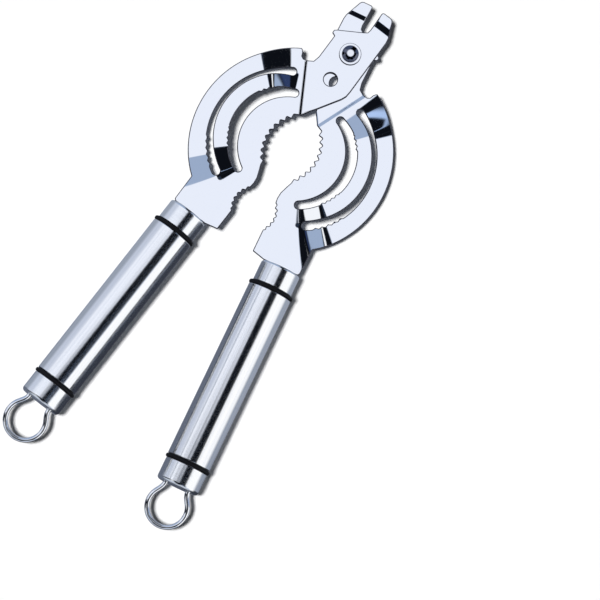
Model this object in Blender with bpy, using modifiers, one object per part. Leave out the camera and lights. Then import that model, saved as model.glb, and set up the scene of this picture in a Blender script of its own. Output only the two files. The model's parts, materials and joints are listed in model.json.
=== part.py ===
"""Jar and bottle opener: two stamped steel jaw plates crossed on one rivet, each on a tubular handle.

The tool lies flat. +Y points to the claws, +X to the right handle and +Z up. The origin is below the
centre of the tool, on the surface that the handle rings rest on. Each arm is drawn in its own plan
frame: u runs outwards from the pivot to the arm's handle side, v runs forwards to the claws.
"""
import math

import bmesh
import bpy
from mathutils import Matrix, Vector

MM = 0.001

# Driving dimensions, in metres and degrees.
GAP = 0.3 * MM                  # clearance between neighbouring pieces
REST_HALF_ANGLE = 6.14          # each handle's angle to the centre line at rest
PLATE_THICKNESS = 1.5 * MM
RING_RADIUS = 12.4 * MM         # the rubber rings are what the tool rests on
HANDLE_OFFSET = 15.8 * MM       # handle axis to pivot, along u
HEAD_LEVEL = (PLATE_THICKNESS + GAP) / 2
BAND_STEP = 4.4 * MM            # outer band drops by this, middle band rises by it
TURN_STEPS = 32                 # facets round a turned piece

# Stations along the handle, measured backwards from the pivot.
CAP_FRONT = 118.4 * MM
RING_STATIONS = (131.0 * MM, 231.8 * MM)
RING_WIDTH = 2.0 * MM
CAP_REAR = 245.0 * MM
TONGUE_LENGTH = 30.0 * MM
TONGUE_WIDTH = 14.0 * MM
FRONT_PLUG_END = 154.0 * MM
REAR_PLUG_START = 212.0 * MM

# Handle radii and walls.
TUBE_RADIUS = 11.9 * MM
TUBE_WALL = 0.8 * MM
FRONT_CAP_RADIUS = 10.9 * MM
REAR_CAP_RADIUS = 11.6 * MM
CAP_WALL = 0.8 * MM
NECK_RADIUS = 9.6 * MM          # plug neck that carries a ring and a cap

# Hanging loop.
WIRE_RADIUS = 1.35 * MM
LOOP_RADIUS = 10.5 * MM
LOOP_STANDOFF = 11.5 * MM       # rear cap face to loop centre
LEG_SPREAD = 6.4 * MM           # half the distance between the loop's legs
LEG_DEPTH = 9.0 * MM

# Pivot.
RIVET_SHANK = 2.7 * MM
RIVET_HEAD = 4.45 * MM
WASHER_RADIUS = 5.9 * MM
WASHER_THICKNESS = 0.8 * MM
PIVOT_HOLE = RIVET_SHANK + GAP
GAUGE_HOLE = 3.55 * MM
GAUGE_HOLE_V = -17.0 * MM

# Jaw plan: every curved edge is a circle (u, v, radius); bearings turn from +v towards +u.
FAN = (0.0, -59.0 * MM)         # the point that bearings are taken from
OUTER_BAND_OUT = (-6.2 * MM, -59.0 * MM, 54.2 * MM)
OUTER_BAND_IN = (-1.2 * MM, -59.0 * MM, 40.6 * MM)
MIDDLE_BAND_OUT = (1.6 * MM, -59.0 * MM, 35.1 * MM)
MIDDLE_BAND_IN = (-0.6 * MM, -59.0 * MM, 29.2 * MM)
INNER_BAND_OUT = (-4.2 * MM, -59.0 * MM, 26.8 * MM)
JAW_CIRCLE = (-13.3 * MM, -57.9 * MM, 21.4 * MM)
NOTCH_CIRCLE = (-9.8 * MM, -96.2 * MM, 11.0 * MM)
OUTER_BAND_ENDS = (31.5, 143.0)
SLOT_DIVIDES = (26.4 * MM, 38.2 * MM)

# Bend lines, as bearings: each band leaves the jaw plane between the first pair and returns
# to it between the second.
OUTER_RAMPS = (28.5, 49.0, 138.5, 153.5)
MIDDLE_RAMPS = (26.5, 48.0, 136.5, 156.0)
FOLD_TOP = (15.8 * MM, -16.4 * MM)
FOLD_BOTTOM = (0.5 * MM, -41.7 * MM)
FOLD_RAMP = 1.2 * MM
CLAW_BEND = 20.0 * MM
CLAW_RAMP = 2.4 * MM

# Teeth.
TOOTH_DEPTH = 2.0 * MM
SMALL_TOOTH_DEPTH = 1.3 * MM
FINE_TOOTH_DEPTH = 0.8 * MM

SIDES = {"left": -1, "right": 1}
LEVELS = {"left": 1, "right": -1}


def clear_scene():
    for item in list(bpy.data.objects):
        bpy.data.objects.remove(item, do_unlink=True)


def new_collection(name):
    collection = bpy.data.collections.new(name)
    bpy.context.scene.collection.children.link(collection)
    return collection


def make_material(name, colour, roughness, metallic):
    material = bpy.data.materials.new(name)
    material.use_nodes = True
    shader = material.node_tree.nodes["Principled BSDF"]
    shader.inputs["Base Color"].default_value = (*colour, 1.0)
    shader.inputs["Roughness"].default_value = roughness
    shader.inputs["Metallic"].default_value = metallic
    return material


# ---------------------------------------------------------------- plan geometry


def direction(bearing):
    angle = math.radians(bearing)
    return Vector((math.sin(angle), math.cos(angle)))


def arc(circle, start, end, steps):
    """Points on a circle between two bearings taken from its own centre."""
    u, v, radius = circle
    points = []
    for step in range(steps + 1):
        bearing = start + (end - start) * step / steps
        points.append(Vector((u, v)) + direction(bearing) * radius)
    return points


def edge_point(circle, bearing, inset=0.0):
    """Where the ray from the fan point at this bearing meets a circle, moved in by inset."""
    ray = direction(bearing)
    offset = Vector(FAN) - Vector(circle[:2])
    along = offset.dot(ray)
    reach = -along + math.sqrt(along * along - offset.length_squared + circle[2] ** 2)
    return Vector(FAN) + ray * (reach - inset)


def teeth(circle, start, end, count, depth):
    """A toothed arc of V-shaped teeth, with a root at both ends."""
    u, v, radius = circle
    points = []
    for step in range(2 * count + 1):
        bearing = start + (end - start) * step / (2 * count)
        reach = radius + depth * (0.5 - step % 2)
        points.append(Vector((u, v)) + direction(bearing) * reach)
    return points


def band_edge(circle, start, end, steps, toothed):
    """A slot edge from one bearing to another, with fine teeth along the toothed stretches."""
    points = []
    for step in range(steps + 1):
        bearing = start + (end - start) * step / steps
        inset = 0.0
        for low, high in toothed:
            if low < bearing < high:
                inset = FINE_TOOTH_DEPTH * (step % 2)
        points.append(edge_point(circle, bearing, inset))
    return points


def round_end(first, last, outward, steps=6):
    """A half circle from one point to another, bulging outward."""
    middle = (first + last) / 2
    half = (last - first) / 2
    bulge = outward.normalized() * half.length
    points = []
    for step in range(1, steps):
        angle = math.pi * step / steps
        points.append(middle - half * math.cos(angle) + bulge * math.sin(angle))
    return points


def slot_outline(outer, inner, start, end, toothed):
    """The slot between two band edges, with both ends rounded."""
    steps = 48
    far_edge = band_edge(outer, start, end, steps, toothed)
    near_edge = band_edge(inner, end, start, steps // 2, ())
    end_cap = round_end(far_edge[-1], near_edge[0], direction(end + 90))
    start_cap = round_end(near_edge[-1], far_edge[0], direction(start - 90))
    return far_edge + end_cap + near_edge + start_cap


def circle_outline(v, radius, steps=24):
    return arc((0.0, v, radius), 0, 360 * (steps - 1) / steps, steps - 1)


def millimetres(pairs):
    return [Vector((u * MM, v * MM)) for u, v in pairs]


def plate_outline():
    """The edge of a jaw plate, from the claw slot round the outer band, tang and teeth."""
    shoulder = millimetres([(-0.5, 17.0), (-0.2, 15.0), (1.4, 13.8), (13.4, 6.3), (14.7, 5.2),
                            (14.5, 3.4), (12.6, 2.7), (12.3, -11.0), (13.0, -14.6), (15.8, -16.4)])
    notch = millimetres([(18.0, -16.9), (19.4, -16.2), (20.2, -14.4), (21.2, -13.3)])
    outer_edge = arc(OUTER_BAND_OUT, OUTER_BAND_ENDS[0], OUTER_BAND_ENDS[1], 44)
    rear_shoulder = -CAP_FRONT + GAP
    tongue_out = HANDLE_OFFSET + TONGUE_WIDTH / 2
    tongue_in = HANDLE_OFFSET - TONGUE_WIDTH / 2
    tongue_end = -CAP_FRONT - TONGUE_LENGTH
    tang = [Vector((26.0 * MM, -117.0 * MM)),
            Vector((25.0 * MM, rear_shoulder)),
            Vector((tongue_out, rear_shoulder)),
            Vector((tongue_out, tongue_end)),
            Vector((tongue_in, tongue_end)),
            Vector((tongue_in, rear_shoulder)),
            Vector((5.5 * MM, rear_shoulder))]
    inside = millimetres([(-1.6, -116.4), (-1.6, -103.8)])
    small_teeth = teeth(NOTCH_CIRCLE, 128, 52, 5, SMALL_TOOTH_DEPTH)
    nose = millimetres([(-1.7, -88.4), (-2.0, -85.5), (-1.6, -82.2), (0.0, -78.0), (1.2, -75.2),
                        (1.5, -72.7)])
    main_teeth = teeth(JAW_CIRCLE, 130, 50, 8, TOOTH_DEPTH)
    head = millimetres([(0.5, -41.7), (-11.2, -21.8), (-12.2, -19.2), (-12.4, -16.0),
                        (-11.5, 16.4), (-11.0, 19.0), (-7.2, 27.4), (-6.3, 28.5), (-5.2, 28.8),
                        (-1.0, 28.8), (-0.1, 28.4), (0.1, 27.4)])
    return shoulder + notch + outer_edge + tang + inside + small_teeth + nose + main_teeth + head


# ---------------------------------------------------------------- bent sheet


def ramp(value, start, end):
    return min(max((value - start) / (end - start), 0.0), 1.0)


def fold_distance(point):
    """Signed distance from the fold line, positive on the band side."""
    along = (Vector(FOLD_BOTTOM) - Vector(FOLD_TOP)).normalized()
    normal = Vector((-along.y, along.x))
    return (point - Vector(FOLD_TOP)).dot(normal)


def band_height(point):
    """Height of the outer and middle bands over the jaw plane."""
    offset = point - Vector(FAN)
    bearing = math.degrees(math.atan2(offset.x, offset.y))
    if offset.length < SLOT_DIVIDES[0] or bearing < 0:
        return 0.0
    is_outer = offset.length > SLOT_DIVIDES[1]
    bends = OUTER_RAMPS if is_outer else MIDDLE_RAMPS
    share = ramp(bearing, bends[0], bends[1]) - ramp(bearing, bends[2], bends[3])
    return -BAND_STEP * share if is_outer else BAND_STEP * share


def sheet_height(point, level):
    """Height of the sheet's middle surface at a plan point of one arm."""
    head = 1 - ramp(fold_distance(point), 0, FOLD_RAMP)
    claw = ramp(point.y, CLAW_BEND, CLAW_BEND + CLAW_RAMP)
    return level * HEAD_LEVEL * head * (1 - claw) + band_height(point)


def bend_lines():
    """Point and normal of every line that the sheet bends along."""
    along = (Vector(FOLD_BOTTOM) - Vector(FOLD_TOP)).normalized()
    normal = Vector((-along.y, along.x))
    lines = [(Vector(FOLD_TOP), normal),
             (Vector(FOLD_TOP) + normal * FOLD_RAMP, normal),
             (Vector((0, CLAW_BEND)), Vector((0, 1))),
             (Vector((0, CLAW_BEND + CLAW_RAMP)), Vector((0, 1)))]
    for bearing in OUTER_RAMPS + MIDDLE_RAMPS:
        lines.append((Vector(FAN), direction(bearing + 90)))
    return lines


# ---------------------------------------------------------------- objects


def link_child(item, collection, parent):
    collection.objects.link(item)
    item.parent = parent


def curve_to_mesh_object(curve_object, name, collection, parent):
    """Replace a curve by its evaluated mesh, with the loose caps welded on."""
    graph = bpy.context.evaluated_depsgraph_get()
    mesh = bpy.data.meshes.new_from_object(curve_object.evaluated_get(graph))
    shell = bmesh.new()
    shell.from_mesh(mesh)
    bmesh.ops.remove_doubles(shell, verts=shell.verts, dist=0.00001)
    shell.to_mesh(mesh)
    shell.free()
    item = bpy.data.objects.new(name, mesh)
    link_child(item, collection, parent)
    bpy.data.objects.remove(curve_object, do_unlink=True)
    return item


def make_jaw_plate(arm, collection, parent, material):
    """One plate: the flat blank is a filled 2D curve, which is then bent along its bend lines."""
    side = SIDES[arm]
    blank = bpy.data.curves.new(arm + "_blank", "CURVE")
    blank.dimensions = "2D"
    blank.fill_mode = "BOTH"
    blank.extrude = PLATE_THICKNESS / 2
    outlines = [plate_outline(),
                circle_outline(0.0, PIVOT_HOLE),
                circle_outline(GAUGE_HOLE_V, GAUGE_HOLE),
                slot_outline(MIDDLE_BAND_IN, INNER_BAND_OUT, 23, 159, ((44, 64), (112, 135))),
                slot_outline(OUTER_BAND_IN, MIDDLE_BAND_OUT, 29, 152, ((120, 146),))]
    for outline in outlines:
        spline = blank.splines.new("POLY")
        spline.points.add(len(outline) - 1)
        for point, place in zip(spline.points, outline):
            point.co = (side * place.x, place.y, 0, 1)
        spline.use_cyclic_u = True
    flat = bpy.data.objects.new(arm + "_blank", blank)
    bpy.context.scene.collection.objects.link(flat)
    plate = curve_to_mesh_object(flat, arm + "_jaw_plate", collection, parent)
    sheet = bmesh.new()
    sheet.from_mesh(plate.data)
    for place, normal in bend_lines():
        bmesh.ops.bisect_plane(sheet, geom=sheet.verts[:] + sheet.edges[:] + sheet.faces[:], dist=0.000001,
                               plane_co=(side * place.x, place.y, 0), plane_no=(side * normal.x, normal.y, 0))
    for vertex in sheet.verts:
        vertex.co.z += sheet_height(Vector((side * vertex.co.x, vertex.co.y)), LEVELS[arm])
    bmesh.ops.triangulate(sheet, faces=sheet.faces[:])
    bmesh.ops.recalc_face_normals(sheet, faces=sheet.faces[:])
    sheet.to_mesh(plate.data)
    sheet.free()
    plate.data.materials.append(material)
    return plate


def make_turned(name, profile, collection, parent, material, closed=True):
    """A turned piece: profile points (radius, height), down the outer side, spun about Z."""
    mesh = bpy.data.meshes.new(name)
    edges = [(index, index + 1) for index in range(len(profile) - 1)]
    if closed:
        edges.append((len(profile) - 1, 0))
    mesh.from_pydata([(radius, 0, height) for radius, height in profile], edges, [])
    item = bpy.data.objects.new(name, mesh)
    link_child(item, collection, parent)
    screw = item.modifiers.new("Turn", "SCREW")
    screw.steps = TURN_STEPS
    screw.render_steps = TURN_STEPS
    screw.use_merge_vertices = True
    screw.merge_threshold = 0.00001
    screw.use_smooth_shade = True
    item.data.materials.append(material)
    return item


def lay_along_handle(item, arm):
    """Turn a piece spun about Z so that its height runs backwards along the handle axis."""
    item.location = (SIDES[arm] * HANDLE_OFFSET, 0, 0)
    item.rotation_euler = (math.radians(90), 0, 0)


def add_cutter(name, shape, parent, cutters):
    """A hidden cutting solid made with bmesh."""
    mesh = bpy.data.meshes.new(name)
    shape.to_mesh(mesh)
    shape.free()
    item = bpy.data.objects.new(name, mesh)
    link_child(item, cutters, parent)
    item.hide_render = True
    item.display_type = "WIRE"
    return item


def box_cutter(name, size, centre, parent, cutters):
    shape = bmesh.new()
    bmesh.ops.create_cube(shape, size=1.0)
    bmesh.ops.scale(shape, vec=size, verts=shape.verts)
    bmesh.ops.translate(shape, vec=centre, verts=shape.verts)
    return add_cutter(name, shape, parent, cutters)


def bore_cutter(name, radius, start, end, place, parent, cutters):
    """A cylinder along Y, from one station to another behind the pivot."""
    shape = bmesh.new()
    bmesh.ops.create_cone(shape, cap_ends=True, segments=16, radius1=radius, radius2=radius,
                          depth=end - start)
    bmesh.ops.rotate(shape, matrix=Matrix.Rotation(math.radians(90), 3, "X"), verts=shape.verts)
    bmesh.ops.translate(shape, vec=(place, -(start + end) / 2, 0), verts=shape.verts)
    return add_cutter(name, shape, parent, cutters)


def cut(item, cutter):
    boolean = item.modifiers.new("Cut " + cutter.name, "BOOLEAN")
    boolean.operation = "DIFFERENCE"
    boolean.solver = "EXACT"
    boolean.object = cutter


def make_front_end(arm, collection, cutters, parent, materials):
    """Front cap over the front plug, which holds the plate's tongue and carries the front ring."""
    side = SIDES[arm]
    ring_front = RING_STATIONS[0] - RING_WIDTH / 2
    ring_back = RING_STATIONS[0] + RING_WIDTH / 2
    outer = FRONT_CAP_RADIUS
    inner = outer - CAP_WALL
    edge = 1.2 * MM
    cap_profile = [(outer, ring_front - GAP), (outer, CAP_FRONT + edge),
                   (outer - edge * 0.3, CAP_FRONT + edge * 0.3), (outer - edge, CAP_FRONT), (0, CAP_FRONT),
                   (0, CAP_FRONT + CAP_WALL), (inner, CAP_FRONT + CAP_WALL), (inner, ring_front - GAP)]
    cap = make_turned(arm + "_front_cap", cap_profile, collection, parent, materials["satin"])
    lay_along_handle(cap, arm)
    bore = TUBE_RADIUS - TUBE_WALL - GAP
    plug_profile = [(0, FRONT_PLUG_END), (bore, FRONT_PLUG_END), (bore, ring_back + GAP),
                    (NECK_RADIUS, ring_back + GAP), (NECK_RADIUS, CAP_FRONT + CAP_WALL + GAP),
                    (0, CAP_FRONT + CAP_WALL + GAP)]
    plug = make_turned(arm + "_front_plug", plug_profile, collection, parent, materials["plug"], closed=False)
    lay_along_handle(plug, arm)
    slot_start = CAP_FRONT - 4 * MM
    slot_end = CAP_FRONT + TONGUE_LENGTH + GAP
    slot = box_cutter(arm + "_tongue_slot",
                      (TONGUE_WIDTH + 2 * GAP, slot_end - slot_start, PLATE_THICKNESS + 2 * GAP),
                      (side * HANDLE_OFFSET, -(slot_start + slot_end) / 2, 0), parent, cutters)
    cut(cap, slot)
    cut(plug, slot)


def make_rear_end(arm, collection, cutters, parent, materials):
    """Rear cap over the rear plug, which holds the loop's legs and carries the rear ring."""
    side = SIDES[arm]
    ring_front = RING_STATIONS[1] - RING_WIDTH / 2
    ring_back = RING_STATIONS[1] + RING_WIDTH / 2
    outer = REAR_CAP_RADIUS
    inner = outer - CAP_WALL
    edge = 1.8 * MM
    cap_profile = [(0, CAP_REAR), (outer - edge, CAP_REAR), (outer - edge * 0.3, CAP_REAR - edge * 0.3),
                   (outer, CAP_REAR - edge), (outer, ring_back + GAP), (inner, ring_back + GAP),
                   (inner, CAP_REAR - CAP_WALL), (0, CAP_REAR - CAP_WALL)]
    cap = make_turned(arm + "_rear_cap", cap_profile, collection, parent, materials["satin"], closed=False)
    lay_along_handle(cap, arm)
    bore = TUBE_RADIUS - TUBE_WALL - GAP
    plug_end = CAP_REAR - CAP_WALL - GAP
    plug_profile = [(0, plug_end), (NECK_RADIUS, plug_end), (NECK_RADIUS, ring_front - GAP),
                    (bore, ring_front - GAP), (bore, REAR_PLUG_START), (0, REAR_PLUG_START)]
    plug = make_turned(arm + "_rear_plug", plug_profile, collection, parent, materials["plug"], closed=False)
    lay_along_handle(plug, arm)
    for leg in (-1, 1):
        place = side * HANDLE_OFFSET + leg * LEG_SPREAD
        bore_cut = bore_cutter(arm + "_leg_bore_" + ("in" if leg < 0 else "out"), WIRE_RADIUS + GAP,
                               CAP_REAR - LEG_DEPTH - GAP, CAP_REAR + 4 * MM, place, parent, cutters)
        cut(cap, bore_cut)
        cut(plug, bore_cut)


def make_ring(name, station, arm, collection, parent, material):
    """A rubber ring with rounded outer edges, seated on a plug neck."""
    inner = NECK_RADIUS + GAP
    low = station - RING_WIDTH / 2
    high = station + RING_WIDTH / 2
    edge = 0.4 * MM
    profile = [(inner, high), (RING_RADIUS - edge, high), (RING_RADIUS, high - edge),
               (RING_RADIUS, low + edge), (RING_RADIUS - edge, low), (inner, low)]
    ring = make_turned(name, profile, collection, parent, material)
    lay_along_handle(ring, arm)


def make_tube(arm, collection, parent, material):
    start = RING_STATIONS[0] + RING_WIDTH / 2 + GAP
    end = RING_STATIONS[1] - RING_WIDTH / 2 - GAP
    inner = TUBE_RADIUS - TUBE_WALL
    profile = [(inner, end), (TUBE_RADIUS, end), (TUBE_RADIUS, start), (inner, start)]
    tube = make_turned(arm + "_handle_tube", profile, collection, parent, material)
    lay_along_handle(tube, arm)


def loop_route():
    """Wire centre line, as (sideways, behind the cap face): leg, sweep, circle, sweep, leg."""
    join = 58
    start = direction(join) * LOOP_RADIUS
    circle_start = Vector((start.x, LOOP_STANDOFF - start.y))
    tangent = Vector((-math.cos(math.radians(join)), -math.sin(math.radians(join))))
    handles = (Vector((LEG_SPREAD, 0)), Vector((LEG_SPREAD, 2.2 * MM)),
               circle_start + tangent * 2.6 * MM, circle_start)
    half = [Vector((LEG_SPREAD, -LEG_DEPTH))]
    for step in range(6):
        share = step / 6
        rest = 1 - share
        half.append(handles[0] * rest ** 3 + handles[1] * 3 * rest ** 2 * share
                    + handles[2] * 3 * rest * share ** 2 + handles[3] * share ** 3)
    steps = 14
    for step in range(steps + 1):
        bearing = join + (180 - join) * step / steps
        spoke = direction(bearing) * LOOP_RADIUS
        half.append(Vector((spoke.x, LOOP_STANDOFF - spoke.y)))
    other = [Vector((-point.x, point.y)) for point in reversed(half[:-1])]
    return half + other


def make_loop(arm, collection, parent, material):
    wire = bpy.data.curves.new(arm + "_hanging_loop", "CURVE")
    wire.dimensions = "3D"
    wire.bevel_depth = WIRE_RADIUS
    wire.bevel_resolution = 2
    wire.use_fill_caps = True
    route = loop_route()
    spline = wire.splines.new("POLY")
    spline.points.add(len(route) - 1)
    for point, place in zip(spline.points, route):
        point.co = (SIDES[arm] * HANDLE_OFFSET + place.x, -CAP_REAR - place.y, 0, 1)
    bent = bpy.data.objects.new(arm + "_wire", wire)
    bpy.context.scene.collection.objects.link(bent)
    loop = curve_to_mesh_object(bent, arm + "_hanging_loop", collection, parent)
    loop.data.shade_smooth()
    loop.data.materials.append(material)


def make_pivot(collection, parent, materials):
    """A domed rivet with a rolled hollow tail, and a washer under each end of it."""
    face = HEAD_LEVEL + PLATE_THICKNESS / 2 + GAP
    under_head = face + WASHER_THICKNESS + GAP
    dome = []
    for bearing in (0, 22, 45, 67, 90):
        reach = direction(bearing)
        dome.append((RIVET_HEAD * reach.x, under_head + 0.4 * MM + 1.9 * MM * reach.y))
    tail_end = -under_head - 1.3 * MM
    profile = dome + [(RIVET_HEAD, under_head), (RIVET_SHANK, under_head), (RIVET_SHANK, -under_head),
                      (RIVET_HEAD - 0.4 * MM, -under_head), (RIVET_HEAD, -under_head - 0.6 * MM),
                      (3.6 * MM, tail_end), (2.2 * MM, tail_end), (1.5 * MM, tail_end + 1.2 * MM),
                      (1.5 * MM, -HEAD_LEVEL), (0, -HEAD_LEVEL)]
    make_turned("pivot_rivet", profile, collection, parent, materials["polished"], closed=False)
    for name, low in (("rivet_washer_top", face), ("rivet_washer_bottom", -face - WASHER_THICKNESS)):
        high = low + WASHER_THICKNESS
        ring = [(PIVOT_HOLE, high), (WASHER_RADIUS - 0.2 * MM, high), (WASHER_RADIUS, high - 0.2 * MM),
                (WASHER_RADIUS, low), (PIVOT_HOLE, low)]
        make_turned(name, ring, collection, parent, materials["polished"])


def pivot_y():
    """The pivot's Y that centres the tool on the origin, from claw tip to loop end."""
    lean = math.radians(REST_HALF_ANGLE)
    front = max(point.x * math.sin(lean) + point.y * math.cos(lean) for point in plate_outline())
    loop_centre = HANDLE_OFFSET * math.sin(lean) - (CAP_REAR + LOOP_STANDOFF) * math.cos(lean)
    back = loop_centre - LOOP_RADIUS - WIRE_RADIUS
    return -(front + back) / 2


def make_axis(name, collection, turn):
    axis = bpy.data.objects.new(name, None)
    collection.objects.link(axis)
    axis.location = (0, pivot_y(), RING_RADIUS)
    axis.rotation_euler = (0, 0, math.radians(turn))
    return axis


def main():
    clear_scene()
    collection = new_collection("jar_opener")
    cutters = new_collection("jar_opener_cutters")
    materials = {"polished": make_material("polished_steel", (0.83, 0.85, 0.88), 0.12, 1.0),
                 "satin": make_material("satin_steel", (0.72, 0.73, 0.75), 0.32, 1.0),
                 "rubber": make_material("black_rubber", (0.012, 0.012, 0.013), 0.6, 0.0),
                 "plug": make_material("black_plastic", (0.03, 0.03, 0.03), 0.5, 0.0)}
    for arm, side in SIDES.items():
        axis = make_axis(arm + "_arm_axis", collection, side * REST_HALF_ANGLE)
        make_jaw_plate(arm, collection, axis, materials["polished"])
        make_front_end(arm, collection, cutters, axis, materials)
        make_rear_end(arm, collection, cutters, axis, materials)
        make_tube(arm, collection, axis, materials["satin"])
        for name, station in zip(("front_ring", "rear_ring"), RING_STATIONS):
            make_ring(arm + "_" + name, station, arm, collection, axis, materials["rubber"])
        make_loop(arm, collection, axis, materials["polished"])
    pivot = make_axis("pivot_axis", collection, 0)
    make_pivot(collection, pivot, materials)
    bpy.context.view_layer.update()


main()
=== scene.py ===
"""Looks of the jar and bottle opener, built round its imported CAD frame.

Two polished jaw plates, each bent from sheet steel, cross on one rivet; each has a brushed tube handle
with satin end caps, two rubber rings and a wire loop. Lengths are metres. An arm's own plan frame has
its origin on the rivet: x runs sideways to the arm's handle side, y forwards to the claws, and z up from
the jaw plane. The left arm's pieces are mirrored in x. Bearings are degrees from +y, turning towards +x.
"""
import json
import math

import bmesh
import bpy
import numpy as np
from mathutils import Matrix, Vector
from mathutils.geometry import delaunay_2d_cdt


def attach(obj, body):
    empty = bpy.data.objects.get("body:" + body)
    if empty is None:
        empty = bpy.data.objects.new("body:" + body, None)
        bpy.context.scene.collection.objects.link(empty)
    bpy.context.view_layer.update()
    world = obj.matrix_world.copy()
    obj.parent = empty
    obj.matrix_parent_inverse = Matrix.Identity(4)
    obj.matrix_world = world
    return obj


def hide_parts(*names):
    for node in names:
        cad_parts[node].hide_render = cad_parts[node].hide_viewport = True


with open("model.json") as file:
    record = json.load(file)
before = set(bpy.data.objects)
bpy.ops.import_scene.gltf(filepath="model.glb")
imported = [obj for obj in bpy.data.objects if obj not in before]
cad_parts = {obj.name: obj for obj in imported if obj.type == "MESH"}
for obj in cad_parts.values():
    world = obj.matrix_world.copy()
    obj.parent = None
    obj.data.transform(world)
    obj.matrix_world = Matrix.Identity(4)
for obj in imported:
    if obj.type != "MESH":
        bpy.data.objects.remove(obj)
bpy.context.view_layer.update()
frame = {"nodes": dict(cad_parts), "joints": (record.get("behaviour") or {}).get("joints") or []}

MM = 0.001
PIVOT = Vector(frame["joints"][0]["pos_m"])
REST_HALF_ANGLE = 6.14
SIDES = {"left": -1, "right": 1}
LEVELS = {"left": 1, "right": -1}
BODIES = {"left": "left_arm", "right": "right_arm"}

# Camera, matched to a long lens held above the tool and turned about its own axis.
CAMERA_PLACE = Vector((0.07754, -0.22388, 1.82251))
CAMERA_TARGET = Vector((0.04523, -0.00506, 0.0))
CAMERA_ROLL = 23.2
CAMERA_LENS = 209.2

# Jaw plate: sheet and bends.
PLATE_THICKNESS = 1.5 * MM
EDGE_ROUND = 0.48 * MM
GAP = 0.3 * MM
HEAD_LEVEL = (PLATE_THICKNESS + GAP) / 2
BAND_STEP = 4.4 * MM
OUTER_RAMPS = (28.5, 49.0, 138.5, 153.5)        # bearings of a band's head ramp and tang ramp
MIDDLE_RAMPS = (26.5, 48.0, 136.5, 156.0)
OUTER_SOFT = (4.0, 4.0)         # half the length of the bends at head and tang, in degrees
MIDDLE_SOFT = (4.5, 3.5)
OUTER_REACH = (38, 60)          # how far from the fan point a band lies, in millimetres
MIDDLE_REACH = (26, 38)
FOOT_HEIGHT = 0.7 * MM          # the middle band's tang ramp stops this high, and a low foot runs on
FOOT_START = 153.5
FOOT_BEARINGS = (150.0, 162.0)
OUTER_SKEW = 0.12               # degrees a millimetre that the outer band's last bend line leans
SKEW_CENTRE = 48.5              # millimetres from the fan point where the line keeps its bearing
SOFT_FOLD = 0.5 * MM            # half the length of a straight bend
FOLD_TOP = Vector((15.8, -16.4)) * MM
FOLD_BOTTOM = Vector((0.5, -41.7)) * MM
FOLD_RAMP = 1.2 * MM
CLAW_BEND = 20.0 * MM
CLAW_RAMPS = {"left": 3.3 * MM, "right": 1.6 * MM}
GRID_SPACING = 1.5 * MM
ROWS_PAST = 6                   # rows of points past the end of a band's ramp
CLAW_ROW = 0.25 * MM
EDGE_CLEARANCE = 0.4 * MM       # no points are hung closer to an edge than this

# Jaw plate: plan. Every curved edge is a circle (x, y, radius).
FAN = (0.0, -59.0 * MM)
OUTER_BAND_OUT = (-6.2 * MM, -59.0 * MM, 54.2 * MM)
OUTER_BAND_IN = (-1.2 * MM, -59.0 * MM, 40.6 * MM)
MIDDLE_BAND_OUT = (1.6 * MM, -59.0 * MM, 35.1 * MM)
MIDDLE_BAND_IN = (-0.6 * MM, -59.0 * MM, 29.2 * MM)
INNER_BAND_OUT = (-4.2 * MM, -59.0 * MM, 26.8 * MM)
JAW_CIRCLE = (-13.3 * MM, -57.9 * MM, 21.4 * MM)
JAW_TEETH = (130, 50, 8)        # first bearing, last bearing and number of teeth
NOTCH_CIRCLE = (-9.8 * MM, -96.2 * MM, 11.0 * MM)
NOTCH_TEETH = (128, 52, 5)
OUTER_BAND_ENDS = (31.5, 143.0)
OUTER_EDGE_STEPS = 110
MIDDLE_SLOT = (23, 159)         # bearings of a slot's ends, and of the toothed stretches of its outer edge
MIDDLE_SLOT_TEETH = ((44, 64), (112, 135))
OUTER_SLOT = (29, 152)
OUTER_SLOT_TEETH = ((120, 146),)
FINE_TOOTH = (0, 0.5, 1, 0.5)   # depth of one fine tooth, step by step
SLOT_BLENDS = ((25.6 * MM, 28.4 * MM), (36.7 * MM, 39.4 * MM))
HANDLE_OFFSET = 15.8 * MM
CAP_FRONT = 118.4 * MM
TONGUE_LENGTH = 30.0 * MM
TONGUE_WIDTH = 14.0 * MM
PIVOT_HOLE = 3.0 * MM
GAUGE_HOLE = 3.55 * MM
GAUGE_HOLE_Y = -17.0 * MM
TOOTH_DEPTH = 2.0 * MM
SMALL_TOOTH_DEPTH = 1.3 * MM
FINE_TOOTH_DEPTH = 0.8 * MM
CORNER_ROUND = 0.5 * MM

# Turned pieces and wire loops.
WALL = 0.8 * MM
LIP_ROUND = 0.2 * MM
FRONT_CAP_EDGE = 1.2 * MM
REAR_CAP_EDGE = 1.8 * MM
RIVET_RADIUS = 4.45 * MM
RIVET_SHANK = 2.7 * MM
RIVET_FLAT = 0.4 * MM
RIVET_CROWN = 1.7 * MM          # radius of the flat crown of the rivet's head
CROWN_HIGHLIGHT_FADE = (1.5 * MM, 2.1 * MM)     # the painted highlight on the crown gives way to painted shade on the flanks between these radii
RIVET_BORE = 1.5 * MM
RING_BORE = 9.9 * MM
TURN_STEPS = 128
SUPPORT = 0.08 * MM             # how close to a corner a straight run is supported
WELD = 0.005 * MM
WIRE_RADIUS = 1.35 * MM
LOOP_RADIUS = 10.5 * MM
LOOP_STANDOFF = 11.5 * MM
LOOP_JOIN = 58                  # bearing where the loop's circle begins
LOOP_SWEEPS = (2.2 * MM, 2.6 * MM)
LEG_SPREAD = 6.4 * MM
LEG_DEPTH = 9.0 * MM


# ---------------------------------------------------------------- plan geometry


def direction(bearing):
    angle = math.radians(bearing)
    return Vector((math.sin(angle), math.cos(angle)))


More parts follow.
